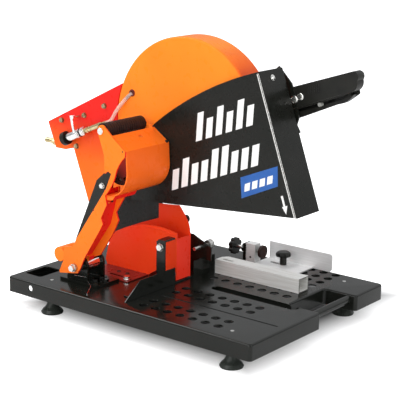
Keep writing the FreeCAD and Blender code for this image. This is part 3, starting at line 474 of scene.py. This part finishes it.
def drawn(name, runs, radius, material, body):
    """Round beads or wires of that radius in mm, along runs of points."""
    curve = bpy.data.curves.new(name, "CURVE")
    curve.dimensions = "3D"
    curve.bevel_depth = radius * MM
    curve.bevel_resolution = 3
    curve.use_fill_caps = True
    for points in runs:
        line = curve.splines.new("POLY")
        line.points.add(len(points) - 1)
        for point, place in zip(line.points, points):
            point.co = (*at(*place), 1.0)
    return add_piece(name, curve, material, body)


# ---------------------------------------------------------------- prints and trim of the blade cover
COVER_NEAR = 196.0
COVER_CORNER = Vector((534.0, 495.0))
COVER_TIP = Vector((638.0, 207.0))
STRIP_TOP_GAP = 3.0
STRIP_END_GAP = 2.0
BAR_LEAN = 0.06


def slanted_bars(low_left, low_right, heights, fill):
    """A row of leaning bars between two low corners, one for each height in mm. Fill is a bar's share of
    the pitch.
    """
    shapes = []
    pitch = (Vector(low_right) - Vector(low_left)) / len(heights)
    for number, height in enumerate(heights):
        foot = Vector(low_left) + pitch * number
        side = pitch * fill
        lift = Vector((BAR_LEAN * height, height))
        corners = [foot, foot + side, foot + side + lift, foot + lift]
        shapes.append([(corner.x, corner.y) for corner in corners])
    return shapes


def edge_strip(inset, width):
    """A strip along the cover's front bend, that far in from it."""
    along = (COVER_TIP - COVER_CORNER).normalized()
    inward = Vector((along.y, -along.x))
    start = COVER_CORNER + along * STRIP_TOP_GAP + inward * inset
    end = COVER_TIP - along * STRIP_END_GAP + inward * inset
    corners = [start, end, end + inward * width, start + inward * width]
    return [(corner.x, corner.y) for corner in corners]


PRINT_THICKNESS = 0.3
UPPER_BARS = (62.0, 44.0, 62.0, 44.0, 62.0, 44.0)
LOWER_BARS = (46.0, 64.0, 46.0, 46.0, 64.0, 64.0, 46.0, 46.0, 46.0)
LABEL_BARS = (17.0, 17.0, 17.0, 17.0)
LABEL = [(494, 270), (586, 308), (588, 266), (498, 226)]
ARROW = [(596, 247), (601, 249), (608, 228), (613, 230), (611, 211), (600, 225), (604, 226)]
decal("cover_upper_bars", slanted_bars((375, 329), (531, 388), UPPER_BARS, 0.62), COVER_NEAR, PRINT_WHITE,
      "cover")
decal("cover_lower_bars", slanted_bars((311, 212), (546, 306), LOWER_BARS, 0.66), COVER_NEAR, PRINT_WHITE,
      "cover")
decal("cover_label", [LABEL], COVER_NEAR, PRINT_BLUE, "cover")
decal("cover_label_bars", slanted_bars((505, 241), (580, 273), LABEL_BARS, 0.7),
      COVER_NEAR - PRINT_THICKNESS, PRINT_WHITE, "cover")
decal("cover_arrow", [ARROW], COVER_NEAR, PRINT_WHITE, "cover")
decal("cover_edge_strips", [edge_strip(2.6, 1.1), edge_strip(5.4, 2.2)], COVER_NEAR, BRUSHED,
      "cover")

DOME = [(0, 0), (6.5, 0), (6.5, 1.0), (5.2, 1.3), (5.0, 3.0), (3.2, 4.3), (0, 4.6)]
FRONT_NORMAL = Vector((0.941, 0.0, 0.340))
turned("cover_front_bolt", at(539.9, 235, 479), FRONT_NORMAL, DOME, ZINC, "cover")

# ---------------------------------------------------------------- small pieces of the head
turned("hose_grommet", at(190, 203, 411), (0, -1, 0),
       [(4.4, 0), (7.8, 0), (7.8, 1.2), (6.6, 2.4), (4.4, 2.4)], GROMMET_RED, "head")
FEED_ANGLE = math.radians(23.0)
FEED_AXIS = Vector((math.cos(FEED_ANGLE), 0.0, math.sin(FEED_ANGLE)))
FEED_START = at(2.0, 186.0, 285.5)


def on_feed(distance):
    return FEED_START + FEED_AXIS * (distance * MM)


turned("valve_seal", on_feed(52.3), FEED_AXIS, [(6.6, 0), (9.2, 0.4), (9.8, 2.6), (9.2, 5.0), (6.6, 5.4)],
       RUBBER, "head")
for number, start in enumerate((44.0, 48.0, 61.5, 66.0)):
    turned("valve_nut_ridge_%d" % (number + 1), on_feed(start), FEED_AXIS,
           [(9.0, 0), (11.3, 0.5), (11.3, 2.2), (9.0, 2.7)], CHROME, "head")
turned("pipe_collar", on_feed(76.0), FEED_AXIS, [(6.2, 0), (7.6, 0.5), (7.6, 4.0), (6.2, 4.5)], BRASS,
       "head")
turned("housing_pin", at(297, 50, 318.5), (0, -1, 0), [(0, 0), (1.8, 0), (1.6, 0.4), (0, 0.5)], PLASTIC,
       "head")
turned("housing_stud", at(302, 187, 321), (0.56, 0, 0.83),
       [(0, -2.5), (3.6, -2.5), (3.6, 1.2), (2.6, 1.9), (0, 2)], PLASTIC, "head")
turned("arm_web_plug", at(238.6, 84, 197), (1.0, 0, -0.3), [(0, -2), (2.6, -2), (2.6, 0.6), (0, 0.9)],
       PLASTIC, "head")
turned("arm_mark", at(214, 50, 180), (0, -1, 0), [(0, 0), (2.2, 0), (2.0, 0.4), (0, 0.5)], GROMMET_RED,
       "head")

GRIP_NEAR = 284.0
drawn("grip_ridge", [[(560, GRIP_NEAR, 411), (676, GRIP_NEAR, 453.5)]], 0.9, PLASTIC, "head")
GRIP_RISE = 0.37
ribs = [[(x, GRIP_NEAR, 447 + GRIP_RISE * (x - 600)), (x - 0.5, GRIP_NEAR, 461 + GRIP_RISE * (x - 600))]
        for x in range(596, 626, 5)]
drawn("grip_ribs", ribs, 0.7, PLASTIC, "head")
for number, (x, z) in enumerate(((563, 431), (577, 438))):
    turned("grip_screw_rim_%d" % (number + 1), at(x, GRIP_NEAR, z), (0, -1, 0),
           [(6.6, 0), (8.4, 0), (8.0, 1.8), (7.0, 2.2), (6.6, 1.6)], ZINC, "head")

# ---------------------------------------------------------------- small pieces of the frame
drawn("pivot_clip", [[(168, 77, 7.4), (186, 65, 7.4), (203, 53, 4.6), (222, 20, 1.4)]], 1.1, CHROME, "frame")
# Painted highlight: a bright chrome bead along the ear's near edge, standing in for its highlight.
drawn("pivot_ear_painted_highlight", [[(141, 67.6, 14.5), (177, 67.6, 17.0)]], 0.5, CHROME, "frame")
drawn("shield_crease", [[(226, 207.8, 112), (270, 207.8, 113.5), (312, 207.8, 108)]], 0.7, SHIELD_PAINTED_SHADE,
      "frame")
for number, x in enumerate((170, 196)):
    turned("shield_foot_rivet_%d" % (number + 1), at(x, 182, 2.5), (0, 0, 1),
           [(0, 0), (5.0, 0), (4.4, 1.4), (0, 2.0)], PLASTIC, "frame")
turned("stay_bar_cap", at(326, 318, 68), (0, 1, 0),
       [(0, -1), (10.6, -1), (10.6, 1.4), (8.8, 2.6), (0, 2.8)], BRUSHED, "frame")
turned("stop_jaw_plug", at(353, 437, 14), (0, -1, 0), [(0, -2), (2.5, -2), (2.5, 0.2), (0, 0.3)], PLASTIC,
       "frame")

# ---------------------------------------------------------------- floor, light and camera
FLOOR_SIZE = 40.0
CAMERA_AT = (1.6881, -2.1327, 0.9517)
CAMERA_TURN = 37.81
CAMERA_DIP = 14.36
CAMERA_ROLL = 0.97
CAMERA_LENS = 114.3
# Painted shadow on the floor: its centre, half size and soft edge.
SHADE_CENTRE = (0.0, 0.10)
SHADE_HALF = (0.26, 0.25, 0.0)
SHADE_SOFT = 0.10
GLOW = 0.75
FLOOR_PALE = (0.93, 0.93, 0.93)
FLOOR_DULL = (0.90, 0.90, 0.90)
# Painted shadow: the grey of the floor under the machine.
FLOOR_PAINTED_SHADOW = (0.16, 0.16, 0.16)
SENSOR_WIDTH = 36.0
VIEW_END = 50.0
SKY_RISE = (0.05, 0.75)
SKY_STRENGTH = (0.34, 0.85)
LIGHTS = (
    ("key", (-0.5, -2.9, 2.0), (0.0, 0.0, 0.3), 1.8, 27.0),
    ("edge", (-1.9, -0.8, 2.6), (0.0, 0.0, 0.2), 1.3, 36.0),
    ("back", (1.4, 2.4, 1.4), (0.0, 0.0, 0.2), 1.8, 3.5),
    ("side", (3.2, -0.4, 1.2), (0.0, 0.0, 0.3), 1.6, 24.0),
    ("fill", (0.9, -2.6, 0.5), (-0.05, 0.0, 0.15), 1.4, 16.0),
)


def make_floor():
    """A pale floor that glows faintly for the camera, with a painted shadow, a grey area where it doesn't.

    The painted shadow lies under the machine and reaches past the tray's far edge.
    """
    bpy.ops.mesh.primitive_plane_add(size=FLOOR_SIZE, location=(*SHADE_CENTRE, 0.0))
    floor = bpy.context.object
    floor.name = "floor"
    pale = Finish("pale_floor", 0.7, specular=0.1)
    size = pale.node("ShaderNodeVectorMath", operation="ABSOLUTE")
    pale.link(pale.place.outputs["Object"], size.inputs[0])
    beyond = pale.node("ShaderNodeVectorMath", operation="SUBTRACT")
    pale.link(size.outputs["Vector"], beyond.inputs[0])
    beyond.inputs[1].default_value = SHADE_HALF
    split = pale.node("ShaderNodeSeparateXYZ")
    pale.link(beyond.outputs["Vector"], split.inputs["Vector"])
    farther = pale.node("ShaderNodeMath", operation="MAXIMUM")
    pale.link(split.outputs["X"], farther.inputs[0])
    pale.link(split.outputs["Y"], farther.inputs[1])
    # Painted shadow: this mask is 0 over the grey area and rises to 1 beyond it.
    clear = pale.spread(farther.outputs["Value"], 0.0, SHADE_SOFT)
    clean = pale.blend(pale.noise(2.0, 2.0), FLOOR_PALE, FLOOR_DULL)
    pale.colour(pale.blend(clear, FLOOR_PAINTED_SHADOW, clean))
    # The glow fades out over the painted shadow too.
    glow = pale.spread(farther.outputs["Value"], 0.0, SHADE_SOFT, 0.0, GLOW)
    path = pale.node("ShaderNodeLightPath")
    glow = pale.both(glow, path.outputs["Is Camera Ray"])
    pale.shader.inputs["Emission Color"].default_value = (1.0, 1.0, 1.0, 1.0)
    pale.link(glow, pale.shader.inputs["Emission Strength"])
    give(floor, pale.material)


def make_light(name, place, target, size, power):
    lamp = bpy.data.lights.new(name, "AREA")
    lamp.shape = "SQUARE"
    lamp.size = size
    lamp.energy = power
    holder = bpy.data.objects.new(name, lamp)
    bpy.context.scene.collection.objects.link(holder)
    holder.location = place
    aim = Vector(target) - Vector(place)
    holder.rotation_euler = aim.to_track_quat("-Z", "Y").to_euler()


def make_world():
    """White behind the object for the camera. For everything else, a studio that is dim low down."""
    world = bpy.data.worlds.new("studio")
    bpy.context.scene.world = world
    world.use_nodes = True
    tree = world.node_tree
    seen = tree.nodes["Background"]
    seen.inputs["Color"].default_value = (1.0, 1.0, 1.0, 1.0)
    seen.inputs["Strength"].default_value = 1.0
    studio = tree.nodes.new("ShaderNodeBackground")
    studio.inputs["Color"].default_value = (0.97, 0.98, 1.0, 1.0)
    place = tree.nodes.new("ShaderNodeTexCoord")
    split = tree.nodes.new("ShaderNodeSeparateXYZ")
    height = tree.nodes.new("ShaderNodeMapRange")
    for key, value in zip(("From Min", "From Max", "To Min", "To Max"), (*SKY_RISE, *SKY_STRENGTH)):
        height.inputs[key].default_value = value
    tree.links.new(place.outputs["Generated"], split.inputs["Vector"])
    tree.links.new(split.outputs["Z"], height.inputs["Value"])
    tree.links.new(height.outputs["Result"], studio.inputs["Strength"])
    path = tree.nodes.new("ShaderNodeLightPath")
    pick = tree.nodes.new("ShaderNodeMixShader")
    tree.links.new(path.outputs["Is Camera Ray"], pick.inputs["Fac"])
    tree.links.new(studio.outputs["Background"], pick.inputs[1])
    tree.links.new(seen.outputs["Background"], pick.inputs[2])
    tree.links.new(pick.outputs["Shader"], tree.nodes["World Output"].inputs["Surface"])


def make_camera():
    lens = bpy.data.cameras.new("camera")
    lens.lens = CAMERA_LENS
    lens.sensor_width = SENSOR_WIDTH
    lens.clip_end = VIEW_END
    camera = bpy.data.objects.new("camera", lens)
    bpy.context.scene.collection.objects.link(camera)
    turn = Matrix.Rotation(math.radians(CAMERA_TURN), 4, "Z")
    tilt = Matrix.Rotation(math.radians(90.0 - CAMERA_DIP), 4, "X")
    roll = Matrix.Rotation(math.radians(CAMERA_ROLL), 4, "Z")
    camera.matrix_world = Matrix.Translation(CAMERA_AT) @ turn @ tilt @ roll
    bpy.context.scene.camera = camera


make_floor()
make_world()
for settings in LIGHTS:
    make_light(*settings)
make_camera()
bpy.context.scene.view_settings.view_transform = "Standard"
